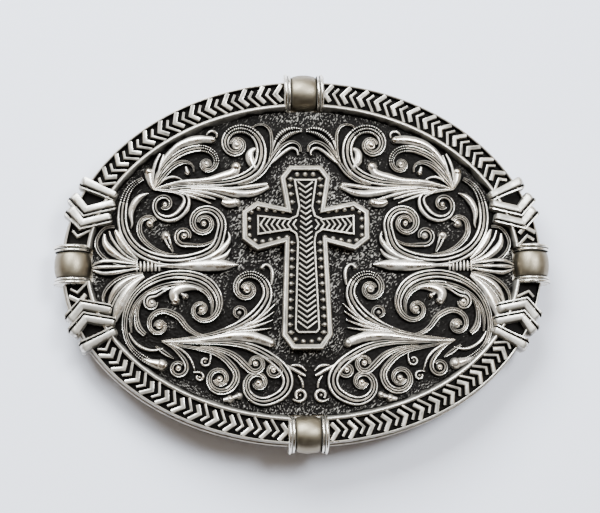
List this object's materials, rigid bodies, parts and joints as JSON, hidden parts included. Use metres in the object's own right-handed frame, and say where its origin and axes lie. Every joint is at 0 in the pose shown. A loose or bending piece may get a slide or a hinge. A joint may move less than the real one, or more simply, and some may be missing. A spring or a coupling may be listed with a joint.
{
  "type": "belt buckle",
  "caption": "Oval western dress buckle with a standing cross, scrollwork face and chevron border, a turning wire belt loop and a leaning peg behind it.",
  "frame": {"origin": "centre of the buckle's bounding box, on the surface it lies on, face up", "axes": "+X along the belt towards the peg's side, +Y up the face towards the cross's head, +Z out of the face"},
  "size_m": [0.0968, 0.0738, 0.014],
  "materials": {
    "back_silver": "flat antiqued silver, lightly tarnished",
    "face_silver": "antiqued silver relief, bright on the scrolls and black in the ground",
    "border_silver": "antiqued silver, black between its chevrons",
    "bezel_silver": "smooth worn silver",
    "bead_silver": "satin warm silver",
    "collar_silver": "antiqued silver, dark in its groove",
    "clasp_silver": "antiqued silver, bright along its ridge",
    "cross_silver": "antiqued silver, bright frame over a black floor",
    "inlay_silver": "antiqued silver, chased with a feather pattern",
    "pin_silver": "hammered silver-plated rivet",
    "hardware_silver": "satin nickel-plated wire and brackets"
  },
  "bodies": {
    "buckle": {"back_plate": "back_silver", "bead_bottom": "bead_silver", "bead_left": "bead_silver", "bead_pins": "pin_silver", "bead_right": "bead_silver", "bead_top": "bead_silver", "belt_peg": "hardware_silver", "border_ring": "border_silver", "bracket_rivets": "pin_silver", "clasp_bar_lower_left": "clasp_silver", "clasp_bar_lower_right": "clasp_silver", "clasp_bar_upper_left": "clasp_silver", "clasp_bar_upper_right": "clasp_silver", "collar_bottom_left": "collar_silver", "collar_bottom_right": "collar_silver", "collar_left_lower": "collar_silver", "collar_left_upper": "collar_silver", "collar_right_lower": "collar_silver", "collar_right_upper": "collar_silver", "collar_top_left": "collar_silver", "collar_top_right": "collar_silver", "cross_body": "cross_silver", "cross_inlay": "inlay_silver", "cross_pins": "pin_silver", "face_plate": "face_silver", "inner_bezel": "bezel_silver", "inner_chevron_lower_left": "clasp_silver", "inner_chevron_lower_right": "clasp_silver", "inner_chevron_upper_left": "clasp_silver", "inner_chevron_upper_right": "clasp_silver", "loop_bracket_lower": "hardware_silver", "loop_bracket_upper": "hardware_silver", "outer_chevron_lower_left": "clasp_silver", "outer_chevron_lower_right": "clasp_silver", "outer_chevron_upper_left": "clasp_silver", "outer_chevron_upper_right": "clasp_silver"},
    "strap_loop": {"belt_loop": "hardware_silver"}
  },
  "joints": [
    {"name": "loop_swing", "type": "hinge", "parent": "buckle", "child": "strap_loop", "pos_m": [-0.018, 0, 0.0028], "axis": [0, -1, 0], "range_deg": [-6, 184]}
  ]
}
